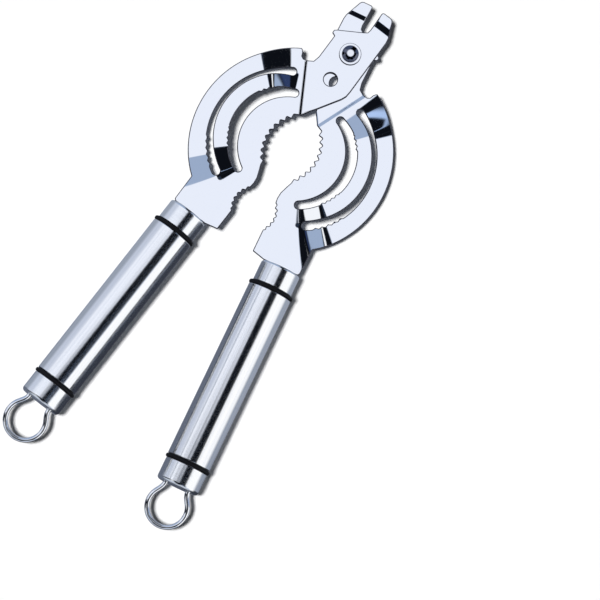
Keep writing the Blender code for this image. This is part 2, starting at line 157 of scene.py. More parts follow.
def arc(circle, start, end, steps):
    x, y, radius = circle
    points = []
    for step in range(steps + 1):
        bearing = start + (end - start) * step / steps
        points.append(Vector((x, y)) + direction(bearing) * radius)
    return points


def edge_point(circle, bearing, inset=0.0):
    """Where the ray from the fan point at this bearing meets a circle, moved in by inset."""
    ray = direction(bearing)
    offset = Vector(FAN) - Vector(circle[:2])
    along = offset.dot(ray)
    reach = -along + math.sqrt(along * along - offset.length_squared + circle[2] ** 2)
    return Vector(FAN) + ray * (reach - inset)


def teeth(circle, start, end, count, depth):
    """A toothed arc of V-shaped teeth, with a root at both ends."""
    x, y, radius = circle
    points = []
    for step in range(2 * count + 1):
        bearing = start + (end - start) * step / (2 * count)
        reach = radius + depth * (0.5 - step % 2)
        points.append(Vector((x, y)) + direction(bearing) * reach)
    return points


def band_edge(circle, start, end, steps, toothed):
    """A slot edge from one bearing to another, with fine teeth along the toothed stretches."""
    points = []
    for step in range(steps + 1):
        bearing = start + (end - start) * step / steps
        inset = 0.0
        for low, high in toothed:
            if low < bearing < high:
                inset = FINE_TOOTH_DEPTH * FINE_TOOTH[step % 4]
        points.append(edge_point(circle, bearing, inset))
    return points


def round_end(first, last, outward, steps=14):
    """A half circle from one point to another, bulging outward."""
    middle = (first + last) / 2
    half = (last - first) / 2
    bulge = outward.normalized() * half.length
    points = []
    for step in range(1, steps):
        angle = math.pi * step / steps
        points.append(middle - half * math.cos(angle) + bulge * math.sin(angle))
    return points


def slot_outline(outer, inner, start, end, toothed):
    steps = 96
    far_edge = band_edge(outer, start, end, steps, toothed)
    near_edge = band_edge(inner, end, start, steps, ())
    end_cap = round_end(far_edge[-1], near_edge[0], direction(end + 90))
    start_cap = round_end(near_edge[-1], far_edge[0], direction(start - 90))
    return far_edge + end_cap + near_edge + start_cap


def hole_outline(y, radius, steps=48):
    return arc((0.0, y, radius), 0, 360 * (steps - 1) / steps, steps - 1)


def millimetres(pairs):
    return [Vector((x * MM, y * MM)) for x, y in pairs]


def plate_outline():
    """The edge of a jaw plate: shoulder, outer band, tang and tongue, teeth, head and claw."""
    shoulder = millimetres([(-0.5, 17.0), (-0.2, 15.0), (1.4, 13.8), (13.4, 6.3), (14.7, 5.2),
                            (14.5, 3.4), (12.6, 2.7), (12.3, -11.0), (13.0, -14.6), (15.8, -16.4)])
    notch = millimetres([(18.0, -16.9), (19.4, -16.2), (20.2, -14.4), (21.2, -13.3)])
    outer_edge = arc(OUTER_BAND_OUT, *OUTER_BAND_ENDS, OUTER_EDGE_STEPS)
    rear_shoulder = -CAP_FRONT + GAP
    tongue_out = HANDLE_OFFSET + TONGUE_WIDTH / 2
    tongue_in = HANDLE_OFFSET - TONGUE_WIDTH / 2
    tongue_end = -CAP_FRONT - TONGUE_LENGTH
    tang = [Vector((26.0 * MM, -117.0 * MM)),
            Vector((25.0 * MM, rear_shoulder)),
            Vector((tongue_out, rear_shoulder)),
            Vector((tongue_out, tongue_end)),
            Vector((tongue_in, tongue_end)),
            Vector((tongue_in, rear_shoulder)),
            Vector((5.5 * MM, rear_shoulder))]
    inside = millimetres([(-1.6, -116.4), (-1.6, -103.8)])
    small_teeth = teeth(NOTCH_CIRCLE, *NOTCH_TEETH, SMALL_TOOTH_DEPTH)
    nose = millimetres([(-1.7, -88.4), (-2.0, -85.5), (-1.6, -82.2), (0.0, -78.0), (1.2, -75.2),
                        (1.5, -72.7)])
    main_teeth = teeth(JAW_CIRCLE, *JAW_TEETH, TOOTH_DEPTH)
    head = millimetres([(0.5, -41.7), (-11.2, -21.8), (-12.2, -19.2), (-12.4, -16.0),
                        (-11.5, 16.4), (-11.0, 19.0), (-7.2, 27.4), (-6.3, 28.5), (-5.2, 28.8),
                        (-1.0, 28.8), (-0.1, 28.4), (0.1, 27.4)])
    return shoulder + notch + outer_edge + tang + inside + small_teeth + nose + main_teeth + head


def fillet(points, radii, segments=3, least_turn=12):
    """Round the corners of a closed outline; radii is one radius, or one for each corner."""
    count = len(points)
    rounded = []
    for index, corner in enumerate(points):
        radius = radii[index] if isinstance(radii, (list, tuple)) else radii
        before = corner - points[index - 1]
        after = points[(index + 1) % count] - corner
        turn = math.atan2(before.cross(after), before.dot(after))
        if radius == 0 or abs(turn) < math.radians(least_turn):
            rounded.append(corner.copy())
            continue
        half = math.tan(abs(turn) / 2)
        trim = min(radius * half, before.length * 0.45, after.length * 0.45)
        start = corner - before.normalized() * trim
        sideways = Vector((-before.y, before.x)).normalized() * math.copysign(1, turn)
        centre = start + sideways * trim / half
        for step in range(segments + 1):
            spoke = Matrix.Rotation(turn * step / segments, 2) @ (start - centre)
            rounded.append(centre + spoke)
    return rounded


# ---------------------------------------------------------------- bent sheet


def eased(value, soft):
    """Zero below a bend and a straight rise above it, with the bend spread over a soft length."""
    if value <= -soft:
        return 0.0
    return value if value >= soft else (value + soft) ** 2 / (4 * soft)


def bend(value, start, end, soft):
    """0 to 1 between two bend lines, with each bend spread to both sides of its line."""
    return (eased(value - start, soft) - eased(value - end, soft)) / (end - start)


def fold_frame():
    along = (FOLD_BOTTOM - FOLD_TOP).normalized()
    return along, Vector((-along.y, along.x))


def step_up(value, low, high):
    """0 below low, 1 above high and a smooth rise between them."""
    share = min(max((value - low) / (high - low), 0.0), 1.0)
    return share * share * (3 - 2 * share)


def band_height(point):
    """Height of the outer and middle bands over the jaw plane, blended from band to band past the slots."""
    offset = point - Vector(FAN)
    bearing = math.degrees(math.atan2(offset.x, offset.y))
    if bearing < 0:
        return 0.0
    rise = bend(bearing, *MIDDLE_RAMPS[:2], MIDDLE_SOFT[0])
    fall = bend(bearing, MIDDLE_RAMPS[2], FOOT_START, MIDDLE_SOFT[1])
    foot = FOOT_HEIGHT * step_up(bearing, *FOOT_BEARINGS)
    middle = BAND_STEP * rise - (BAND_STEP - FOOT_HEIGHT) * fall - foot
    reach = min(max(offset.length, OUTER_REACH[0] * MM), OUTER_REACH[1] * MM)
    lean = OUTER_SKEW * (reach / MM - SKEW_CENTRE)
    rise = bend(bearing, *OUTER_RAMPS[:2], OUTER_SOFT[0])
    fall = bend(bearing, OUTER_RAMPS[2], OUTER_RAMPS[3] - lean, OUTER_SOFT[1])
    inner, outer = SLOT_BLENDS
    middle_share = step_up(offset.length, *inner) * (1 - step_up(offset.length, *outer))
    return middle * middle_share - BAND_STEP * (rise - fall) * step_up(offset.length, *outer)


def sheet_height(point, arm):
    """Height of the sheet's middle surface at a plan point of one arm."""
    head = 1 - bend((point - FOLD_TOP).dot(fold_frame()[1]), 0, FOLD_RAMP, SOFT_FOLD)
    claw = bend(point.y, CLAW_BEND, CLAW_BEND + CLAW_RAMPS[arm], SOFT_FOLD)
    return LEVELS[arm] * HEAD_LEVEL * head * (1 - claw) + band_height(point)


def sheet_normal(point, arm):
    step = 0.02 * MM
    across, along = Vector((step, 0)), Vector((0, step))
    rise_across = sheet_height(point + across, arm) - sheet_height(point - across, arm)
    rise_along = sheet_height(point + along, arm) - sheet_height(point - along, arm)
    return Vector((-rise_across, -rise_along, 2 * step)).normalized()


def is_inside(points, loops):
    """Even-odd test of many plan points against closed loops."""
    places = np.array([tuple(point) for point in points])
    odd = np.zeros(len(places), bool)
    for loop in loops:
        ends = np.array([tuple(point) for point in loop])
        starts = np.roll(ends, 1, axis=0)
        for (x0, y0), (x1, y1) in zip(starts, ends):
            if y0 == y1:
                continue
            spans = (y0 > places[:, 1]) != (y1 > places[:, 1])
            crossing = x0 + (places[:, 1] - y0) * (x1 - x0) / (y1 - y0)
            odd ^= spans & (places[:, 0] < crossing)
    return odd


def clear_of_edges(points, loops, distance):
    places = np.array([tuple(point) for point in points])
    edges = np.array([tuple(point) for loop in loops for point in loop])
    nearest = np.full(len(places), np.inf)
    for edge in edges:
        nearest = np.minimum(nearest, np.hypot(*(places - edge).T))
    return nearest > distance


def sheet_points():
    """Plan points that a plate's faces are hung on: a coarse grid, and close rows across every bend."""
    points = []
    for row in range(-100, 24):
        for column in range(-10, 36):
            shift = 0.5 * (row % 2)
            points.append(Vector(((column + shift) * GRID_SPACING, row * GRID_SPACING)))
    bands = ((OUTER_RAMPS, OUTER_SOFT, OUTER_REACH), (MIDDLE_RAMPS, MIDDLE_SOFT, MIDDLE_REACH))
    for ramps, softness, reach in bands:
        for start, end, soft in ((*ramps[:2], softness[0]), (*ramps[2:], softness[1])):
            span = end - start + 2 * soft
            rows = round(span) + 1
            for row in range(rows + ROWS_PAST):
                ray = direction(start - soft + span * row / rows)
                for station in range(2 * reach[0], 2 * reach[1]):
                    points.append(Vector(FAN) + ray * station * MM / 2)
    along, across = fold_frame()
    for row in range(-3, 10):
        for station in range(-2, 34):
            points.append(FOLD_TOP + along * station * MM + across * FOLD_RAMP * row / 6)
    for row in range(-3, 16):
        for station in range(-14, 3):
            points.append(Vector((station * MM, CLAW_BEND + CLAW_ROW * row)))
    return points


def outward_normals(loop):
    """The unit normal away from the sheet at each corner of a loop, with its mitre length.

    The sheet lies to the left of the loop.
    """
    normals = []
    count = len(loop)
    for index, point in enumerate(loop):
        before = (point - loop[index - 1]).normalized()
        after = (loop[(index + 1) % count] - point).normalized()
        middle = (before + after).normalized()
        mitre = 1 / max(before.dot(middle), 0.7)
        normals.append((Vector((middle.y, -middle.x)), mitre))
    return normals


def turned_right_way(loop, is_outer):
    area = sum(loop[index - 1].cross(loop[index]) for index in range(len(loop)))
    return loop if (area > 0) == is_outer else list(reversed(loop))


def edge_section():
    """The sheet's edge, top corner, wall and bottom corner, as (inset, height, outward share)."""
    corner = []
    steps = 3
    for step in range(steps + 1):
        angle = math.pi / 2 * step / steps
        corner.append((EDGE_ROUND * (1 - math.sin(angle)),
                       PLATE_THICKNESS / 2 - EDGE_ROUND * (1 - math.cos(angle)),
                       math.sin(angle)))
    return corner + [(inset, -height, share) for inset, height, share in reversed(corner)]


def make_plate_mesh(arm):
    """Both faces and the rounded edge of one jaw plate, with exact normals at every vertex."""
    side = SIDES[arm]
    outlines = [fillet(plate_outline(), CORNER_ROUND),
                hole_outline(0.0, PIVOT_HOLE),
                hole_outline(GAUGE_HOLE_Y, GAUGE_HOLE),
                slot_outline(MIDDLE_BAND_IN, INNER_BAND_OUT, *MIDDLE_SLOT, MIDDLE_SLOT_TEETH),
                slot_outline(OUTER_BAND_IN, MIDDLE_BAND_OUT, *OUTER_SLOT, OUTER_SLOT_TEETH)]
    loops = [turned_right_way(loop, index == 0) for index, loop in enumerate(outlines)]
    section = edge_section()
    rings = []
    face_loops = []
    for loop in loops:
        ring = []
        for point, (normal, mitre) in zip(loop, outward_normals(loop)):
            ring.append([(point - normal * mitre * inset, height, normal, share)
                         for inset, height, share in section])
        rings.append(ring)
        face_loops.append([column[0][0] for column in ring])
    grid = sheet_points()
    keep = is_inside(grid, face_loops) & clear_of_edges(grid, face_loops, EDGE_CLEARANCE)
    plan = [point for loop in face_loops for point in loop]
    edges = []
    for loop in face_loops:
        first = len(edges)
        edges += [(first + index, first + (index + 1) % len(loop)) for index in range(len(loop))]
    plan += [point for point, kept in zip(grid, keep) if kept]
    verts, _, triangles, sources, _, _ = delaunay_2d_cdt(plan, edges, [], 1, 1e-9)
    centres = [(verts[a] + verts[b] + verts[c]) / 3 for a, b, c in triangles]
    inside = is_inside(centres, face_loops)
    triangles = [triangle for triangle, kept in zip(triangles, inside) if kept]
    place_of = {source: index for index, group in enumerate(sources) for source in group}

    coords, normals, faces = [], [], []

    def add_vertex(point, height, normal):
        coords.append((side * point.x, point.y, sheet_height(point, arm) + height))
        normals.append((side * normal.x, normal.y, normal.z))
        return len(coords) - 1

    for sign in (1, -1):
        for point in verts:
            add_vertex(point, sign * PLATE_THICKNESS / 2, sheet_normal(point, arm) * sign)
    below = len(verts)
    for a, b, c in triangles:
        faces.append((a, b, c))
        faces.append((below + c, below + b, below + a))
    rim_start = len(faces)
    source = 0
    for ring in rings:
        columns = []
        for column in ring:
            top = place_of[source]
            point = column[0][0]
            face_normal = sheet_normal(point, arm)
            indices = [top]
            for spot, height, outward, share in column[1:-1]:
                sign = math.copysign(1, height)
                upright = face_normal * sign * math.sqrt(max(1 - share * share, 0))
                wall = Vector((outward.x, outward.y, 0)) * share
                indices.append(add_vertex(spot, height, (upright + wall).normalized()))
            indices.append(below + top)
            columns.append(indices)
            source += 1
        for index in range(len(columns)):
            here, following = columns[index], columns[(index + 1) % len(columns)]
            for row in range(len(here) - 1):
                faces.append((here[row], here[row + 1], following[row + 1], following[row]))
    if side < 0:
        faces = [tuple(reversed(face)) for face in faces]
    mesh = bpy.data.meshes.new(arm + "_plate")
    mesh.from_pydata(coords, [], faces)
    mesh.shade_smooth()
    # Rim faces take the second material, painted near black as painted shade along the edge.
    for face in mesh.polygons[rim_start:]:
        face.material_index = 1
    mesh.normals_split_custom_set_from_vertices(normals)
    return mesh


# ---------------------------------------------------------------- placing


def arm_matrix(arm):
    turn = Matrix.Rotation(math.radians(SIDES[arm] * REST_HALF_ANGLE), 4, "Z")
    return Matrix.Translation(PIVOT) @ turn


def arm_box(arm, cad_node):
    """Lowest and highest corners of a CAD node in its arm's own frame."""
    to_arm = arm_matrix(arm).inverted()
    places = np.array([to_arm @ vertex.co for vertex in frame["nodes"][cad_node].data.vertices])
    return Vector(places.min(axis=0)), Vector(places.max(axis=0))


def place(name, mesh, arm, cad_node, materials):
    """Put a piece that is modelled in an arm's frame where its CAD node is, and let it ride on the arm."""
    for material in materials:
        mesh.materials.append(material)
    mesh.transform(arm_matrix(arm))
    item = bpy.data.objects.new(name, mesh)
    bpy.context.scene.collection.objects.link(item)
    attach(item, BODIES[arm])
    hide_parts(cad_node)
    return item


def evaluated_mesh(item):
    """The mesh of an object with its modifiers applied; the object itself is removed."""
    graph = bpy.context.evaluated_depsgraph_get()
    mesh = bpy.data.meshes.new_from_object(item.evaluated_get(graph))
    bpy.data.objects.remove(item, do_unlink=True)
    return mesh


def smooth(mesh, angle=35):
    mesh.shade_smooth()
    mesh.set_sharp_from_angle(angle=math.radians(angle))
    return mesh


def supported(profile, closed):
    """A profile with a point close to both ends of each straight run, so that the run shades as flat."""
    points = []
    for index, start in enumerate(profile):
        points.append(start)
        run = profile[(index + 1) % len(profile)] - start
        if run.length > 4 * SUPPORT and (closed or index + 1 < len(profile)):
            points += [start + run.normalized() * SUPPORT, start + run - run.normalized() * SUPPORT]
    return points


def turned_mesh(name, profile, closed=True):
    """A profile of (radius, height) points, down the outer side, spun about Z."""
    profile = supported(profile, closed)
    edges = [(index, index + 1) for index in range(len(profile) - 1)]
    if closed:
        edges.append((len(profile) - 1, 0))
    mesh = bpy.data.meshes.new(name)
    mesh.from_pydata([(point.x, 0, point.y) for point in profile], edges, [])
    item = bpy.data.objects.new(name, mesh)
    bpy.context.scene.collection.objects.link(item)
    screw = item.modifiers.new("Turn", "SCREW")
    screw.steps = TURN_STEPS
    screw.render_steps = TURN_STEPS
    screw.use_merge_vertices = True
    screw.merge_threshold = WELD
    return smooth(evaluated_mesh(item))


def laid_along_handle(mesh, arm):
    """Turn a mesh spun about Z so that its height runs backwards along the handle's axis."""
    lay = Matrix.Rotation(math.radians(90), 4, "X")
    mesh.transform(Matrix.Translation((SIDES[arm] * HANDLE_OFFSET, 0, 0)) @ lay)
    return mesh


def cut_mesh(mesh, cutter_shapes):
    """Cut bmesh shapes out of a mesh."""
    item = bpy.data.objects.new("blank", mesh)
    bpy.context.scene.collection.objects.link(item)
    cutters = []
    for shape in cutter_shapes:
        cutter_mesh = bpy.data.meshes.new("cutter")
        shape.to_mesh(cutter_mesh)
        shape.free()
        cutter = bpy.data.objects.new("cutter", cutter_mesh)
        bpy.context.scene.collection.objects.link(cutter)
        cutters.append(cutter)
        boolean = item.modifiers.new("Cut", "BOOLEAN")
        boolean.operation = "DIFFERENCE"
        boolean.solver = "EXACT"
        boolean.object = cutter
    result = evaluated_mesh(item)
    for cutter in cutters:
        bpy.data.objects.remove(cutter, do_unlink=True)
    return smooth(result)


def box_shape(size, centre):
    shape = bmesh.new()
    bmesh.ops.create_cube(shape, size=1.0)
    bmesh.ops.scale(shape, vec=size, verts=shape.verts)
    bmesh.ops.translate(shape, vec=centre, verts=shape.verts)
    return shape


def bore_shape(radius, start, end, sideways):
    shape = bmesh.new()
    bmesh.ops.create_cone(shape, cap_ends=True, segments=48, radius1=radius, radius2=radius,
                          depth=end - start)
    bmesh.ops.rotate(shape, matrix=Matrix.Rotation(math.radians(90), 3, "X"), verts=shape.verts)
    bmesh.ops.translate(shape, vec=(sideways, -(start + end) / 2, 0), verts=shape.verts)
    return shape


# ---------------------------------------------------------------- materials


def node(tree, kind, inputs=(), **settings):
    """A shader node with its settings and its input values, given by name or number."""
    item = tree.nodes.new(kind)
    for name, value in settings.items():
        setattr(item, name, value)
    for name, value in dict(inputs).items():
        if isinstance(value, bpy.types.NodeSocket):
            tree.links.new(value, item.inputs[name])
        else:
            item.inputs[name].default_value = value
    return item


def grain(tree, size, detail, arm=None, roughness=0.6):
    """Noise whose grains have the given size along each axis, turned with an arm's handle."""
    coordinates = node(tree, "ShaderNodeTexCoord")
    turn = math.radians(SIDES[arm] * REST_HALF_ANGLE) if arm else 0.0
    mapping = node(tree, "ShaderNodeMapping", {"Vector": coordinates.outputs["Object"], "Scale": size,
                                               "Rotation": (0, 0, turn)}, vector_type="TEXTURE")
    noise = node(tree, "ShaderNodeTexNoise", {"Vector": mapping.outputs["Vector"], "Scale": 1.0,
                                              "Detail": detail, "Roughness": roughness})
    return noise.outputs["Fac"]


def spread(tree, value, low, high, source=(0.3, 0.7)):
    """A value, such as a noise, mapped from its source range to the range from low to high."""
    mapped = node(tree, "ShaderNodeMapRange", {"Value": value, "From Min": source[0], "From Max": source[1],
                                               "To Min": low, "To Max": high})
    return mapped.outputs["Result"]


def new_surface(name, colour, metallic):
    material = bpy.data.materials.new(name)
    material.use_nodes = True
    shader = material.node_tree.nodes["Principled BSDF"]
    shader.inputs["Base Color"].default_value = (*colour, 1.0)
    shader.inputs["Metallic"].default_value = metallic
    return material, material.node_tree, shader


def add_bump(tree, shader, height, strength, distance):
    bump = node(tree, "ShaderNodeBump", {"Height": height, "Strength": strength, "Distance": distance})
    tree.links.new(bump.outputs["Normal"], shader.inputs["Normal"])


def make_polished_steel():
    material, tree, shader = new_surface("polished_steel", (0.93, 0.94, 0.96), 1.0)
    haze = grain(tree, (11 * MM, 11 * MM, 11 * MM), 3)
    tree.links.new(spread(tree, haze, 0.02, 0.06), shader.inputs["Roughness"])
    return material


def make_painted_shade_cut_steel():
    """The punched edge of a plate: duller than its faces, and painted near black as painted shade for the
    dark lines along every edge.
    """
    material, tree, shader = new_surface("painted_shade_cut_steel", (0.09, 0.09, 0.11), 1.0)
    lines = grain(tree, (0.6 * MM, 0.6 * MM, 3 * MM), 3)
    tree.links.new(spread(tree, lines, 0.22, 0.34), shader.inputs["Roughness"])
    return material


def make_rivet_painted_light_steel():
    """Painted highlight on the crown of the rivet's head, fading to painted shade on its flanks."""
    material, tree, shader = new_surface("rivet_painted_light_steel", (0.34, 0.35, 0.40), 1.0)
    haze = grain(tree, (1.5 * MM, 1.5 * MM, 1.5 * MM), 3)
    tree.links.new(spread(tree, haze, 0.08, 0.14), shader.inputs["Roughness"])
    coordinates = node(tree, "ShaderNodeTexCoord")
    level = node(tree, "ShaderNodeVectorMath", {0: coordinates.outputs["Object"], 1: (1, 1, 0)},
                 operation="MULTIPLY")
    reach = node(tree, "ShaderNodeVectorMath", {0: level.outputs["Vector"], 1: (PIVOT.x, PIVOT.y, 0)},
                 operation="DISTANCE")
    # Near white on the crown is a painted highlight; the dark colour out on the flanks is painted shade.
    painted_shade_share = spread(tree, reach.outputs["Value"], 0.0, 1.0, CROWN_HIGHLIGHT_FADE)
    colour = colour_mix(tree, painted_shade_share, (0.95, 0.95, 0.96), (0.13, 0.14, 0.19))
    tree.links.new(colour, shader.inputs["Base Color"])
    return material


def make_brushed_steel(arm):
    """Tube finish: long grain along the handle."""
    material, tree, shader = new_surface(arm + "_brushed_steel", (0.97, 0.97, 0.98), 1.0)
    lines = grain(tree, (0.4 * MM, 55 * MM, 0.4 * MM), 6, arm)
    streaks = spread(tree, grain(tree, (1.1 * MM, 140 * MM, 1.1 * MM), 4, arm), 0.0, 1.0)
    colour = colour_mix(tree, streaks, (0.90, 0.91, 0.93), (0.99, 0.99, 0.99))
    tree.links.new(colour, shader.inputs["Base Color"])
    tree.links.new(spread(tree, lines, 0.12, 0.19), shader.inputs["Roughness"])
    add_bump(tree, shader, lines, 0.12, 0.01 * MM)
    return material


def make_satin_steel(arm):
    """Cap finish: fine lines turned round the cap."""
    material, tree, shader = new_surface(arm + "_satin_steel", (0.96, 0.97, 0.98), 1.0)
    lines = grain(tree, (7 * MM, 0.26 * MM, 7 * MM), 5, arm)
    tree.links.new(spread(tree, lines, 0.13, 0.22), shader.inputs["Roughness"])
    add_bump(tree, shader, lines, 0.12, 0.01 * MM)
    return material


def make_rubber():
    material, tree, shader = new_surface("black_rubber", (0.004, 0.004, 0.005), 0.0)
    shader.inputs["Specular IOR Level"].default_value = 0.2
    specks = grain(tree, (0.4 * MM, 0.4 * MM, 0.4 * MM), 3)
    tree.links.new(spread(tree, specks, 0.5, 0.7), shader.inputs["Roughness"])
    add_bump(tree, shader, specks, 0.3, 0.03 * MM)
    return material


def make_plastic():
    material, tree, shader = new_surface("black_plastic", (0.02, 0.02, 0.022), 0.0)
    specks = grain(tree, (0.8 * MM, 0.8 * MM, 0.8 * MM), 2)
    tree.links.new(spread(tree, specks, 0.4, 0.55), shader.inputs["Roughness"])
    add_bump(tree, shader, specks, 0.2, 0.05 * MM)
    return material


# ---------------------------------------------------------------- pieces


def make_plate(arm, faces, rim):
    mesh = make_plate_mesh(arm)
    # The rim material is painted near black: painted shade along the plate's edges.
    place(arm + "_plate", mesh, arm, arm + "_jaw_plate", [faces, rim])


def node_profile(arm, cad_node):
    """Radius, front station and rear station of a turned CAD node."""
    low, high = arm_box(arm, cad_node)
    return (high.z - low.z) / 2, -high.y, -low.y


def make_tube(arm, material):
    radius, start, end = node_profile(arm, arm + "_handle_tube")
    corners = [(radius - WALL, end), (radius, end), (radius, start), (radius - WALL, start)]
    mesh = turned_mesh(arm + "_tube", fillet([Vector(pair) for pair in corners], 0.3 * MM))
    laid_along_handle(mesh, arm)
    place(arm + "_tube", mesh, arm, arm + "_handle_tube", [material])


def make_front_cap(arm, material):
    radius, start, end = node_profile(arm, arm + "_front_cap")
    corners = [(radius, end), (radius, start), (0, start), (0, start + WALL),
               (radius - WALL, start + WALL), (radius - WALL, end)]
    radii = (LIP_ROUND, FRONT_CAP_EDGE, 0, 0, LIP_ROUND, LIP_ROUND)
    mesh = turned_mesh(arm + "_cap", fillet([Vector(pair) for pair in corners], radii, segments=6))
    slot = box_shape((TONGUE_WIDTH + 2 * GAP, 4 * WALL, PLATE_THICKNESS + 2 * GAP),
                     (SIDES[arm] * HANDLE_OFFSET, -start, 0))
    mesh = cut_mesh(laid_along_handle(mesh, arm), [slot])
    place(arm + "_ferrule", mesh, arm, arm + "_front_cap", [material])


def make_rear_cap(arm, material):
    radius, start, end = node_profile(arm, arm + "_rear_cap")
    corners = [(0, end), (radius, end), (radius, start), (radius - WALL, start),
               (radius - WALL, end - WALL), (0, end - WALL)]
    radii = (0, REAR_CAP_EDGE, LIP_ROUND, LIP_ROUND, LIP_ROUND, 0)
    profile = fillet([Vector(pair) for pair in corners], radii, segments=6)
    mesh = turned_mesh(arm + "_cap", profile, closed=False)
    bores = [bore_shape(WIRE_RADIUS + GAP, end - 3 * WALL, end + 3 * WALL,
                        SIDES[arm] * HANDLE_OFFSET + leg * LEG_SPREAD) for leg in (-1, 1)]
    mesh = cut_mesh(laid_along_handle(mesh, arm), bores)
    place(arm + "_end_cap", mesh, arm, arm + "_rear_cap", [material])


def make_ring(arm, which, material):
    node_name = arm + "_" + which + "_ring"
    radius, start, end = node_profile(arm, node_name)
    corners = [(RING_BORE, end), (radius, end), (radius, start), (RING_BORE, start)]
    mesh = turned_mesh(node_name, fillet([Vector(pair) for pair in corners], 0.8 * MM, segments=6))
    laid_along_handle(mesh, arm)
    place(arm + "_" + which + "_o_ring", mesh, arm, node_name, [material])


def loop_route():
    """Wire centre line, as (sideways, behind the cap face): leg, sweep, circle, sweep, leg."""
    start = direction(LOOP_JOIN) * LOOP_RADIUS
    circle_start = Vector((start.x, LOOP_STANDOFF - start.y))
    tangent = Vector((-math.cos(math.radians(LOOP_JOIN)), -math.sin(math.radians(LOOP_JOIN))))
    handles = (Vector((LEG_SPREAD, 0)), Vector((LEG_SPREAD, LOOP_SWEEPS[0])),
               circle_start + tangent * LOOP_SWEEPS[1], circle_start)
    half = [Vector((LEG_SPREAD, -LEG_DEPTH))]
    sweep = 18
    for step in range(sweep):
        share = step / sweep
        rest = 1 - share
        half.append(handles[0] * rest ** 3 + handles[1] * 3 * rest ** 2 * share
                    + handles[2] * 3 * rest * share ** 2 + handles[3] * share ** 3)
    steps = 48
    for step in range(steps + 1):
        bearing = LOOP_JOIN + (180 - LOOP_JOIN) * step / steps
        spoke = direction(bearing) * LOOP_RADIUS
        half.append(Vector((spoke.x, LOOP_STANDOFF - spoke.y)))
    other = [Vector((-point.x, point.y)) for point in reversed(half[:-1])]
    return half + other


def make_loop(arm, material):
    rear = -arm_box(arm, arm + "_rear_cap")[0].y
    wire = bpy.data.curves.new(arm + "_wire", "CURVE")
    wire.dimensions = "3D"
    wire.bevel_depth = WIRE_RADIUS
    wire.bevel_resolution = 10
    wire.use_fill_caps = True
    route = loop_route()
    spline = wire.splines.new("POLY")
    spline.points.add(len(route) - 1)
    for point, spot in zip(spline.points, route):
        point.co = (SIDES[arm] * HANDLE_OFFSET + spot.x, -rear - spot.y, 0, 1)
    bent = bpy.data.objects.new(arm + "_wire", wire)
    bpy.context.scene.collection.objects.link(bent)
    mesh = evaluated_mesh(bent)
    shell = bmesh.new()
    shell.from_mesh(mesh)
    bmesh.ops.remove_doubles(shell, verts=shell.verts, dist=WELD)
    shell.to_mesh(mesh)
    shell.free()
    place(arm + "_wire_loop", smooth(mesh, 50), arm, arm + "_hanging_loop", [material])


def make_rivet(material):
    """Domed head, shank and rolled hollow tail, in the left arm's frame."""
    low, high = arm_box("left", "pivot_rivet")
    under_head = HEAD_LEVEL + PLATE_THICKNESS / 2 + GAP + WALL + GAP
    dome_base = under_head + RIVET_FLAT
    profile = [Vector((0, high.z))]
    steps = 20
    for step in range(steps + 1):
        reach = direction(90 * step / steps)
        profile.append(Vector((RIVET_CROWN + (RIVET_RADIUS - RIVET_CROWN) * reach.x,
                               dome_base + (high.z - dome_base) * reach.y)))
    tail = low.z
    roll = [(RIVET_RADIUS, under_head), (RIVET_SHANK, under_head), (RIVET_SHANK, -under_head),
            (RIVET_RADIUS - RIVET_FLAT, -under_head), (RIVET_RADIUS, -under_head - 0.6 * MM),
            (3.6 * MM, tail), (2.2 * MM, tail), (RIVET_BORE, tail + 1.2 * MM),
            (RIVET_BORE, -HEAD_LEVEL), (0, -HEAD_LEVEL)]
    corners = profile + [Vector(pair) for pair in roll]
    roll_radii = [0.15 * MM, 0, 0, 0.3 * MM, 0.5 * MM, 0.5 * MM, 0.5 * MM, 0.3 * MM, 0.2 * MM, 0]
    radii = [0] * len(profile) + roll_radii
    mesh = turned_mesh("rivet", fillet(corners, radii, segments=5), closed=False)
    place("rivet", mesh, "left", "pivot_rivet", [material])


def make_washer(which, face, edge):
    node_name = "rivet_washer_" + which
    low, high = arm_box("left", node_name)
    radius = (high.x - low.x) / 2
    corners = [(PIVOT_HOLE, high.z), (radius, high.z), (radius, low.z), (PIVOT_HOLE, low.z)]
    mesh = turned_mesh(node_name, fillet([Vector(pair) for pair in corners], 0.25 * MM, segments=4))
    # Edge faces take the second material, painted near black as painted shade along the washer's edge.
    for polygon in mesh.polygons:
        polygon.material_index = int(abs(polygon.normal.z) < 0.99)
    place(which + "_washer", mesh, "left", node_name, [face, edge])


# ---------------------------------------------------------------- stage


def make_camera():
    lens = bpy.data.cameras.new("camera")
    lens.lens = CAMERA_LENS
    lens.clip_end = 20
    camera = bpy.data.objects.new("camera", lens)
    bpy.context.scene.collection.objects.link(camera)
    aim = (CAMERA_TARGET - CAMERA_PLACE).to_track_quat("-Z", "Y").to_matrix().to_4x4()
    roll = Matrix.Rotation(math.radians(CAMERA_ROLL), 4, "Z")
    camera.matrix_world = Matrix.Translation(CAMERA_PLACE) @ aim @ roll
    bpy.context.scene.camera = camera


def make_floor():
    shape = bmesh.new()
    bmesh.ops.create_grid(shape, x_segments=1, y_segments=1, size=6)
    mesh = bpy.data.meshes.new("floor")
    shape.to_mesh(mesh)
    shape.free()
    material, tree, shader = new_surface("pale_floor", (0.95, 0.95, 0.95), 0.0)
    shader.inputs["Roughness"].default_value = 0.9
    mesh.materials.append(material)
    floor = bpy.data.objects.new("floor", mesh)
    bpy.context.scene.collection.objects.link(floor)
    floor.visible_glossy = False


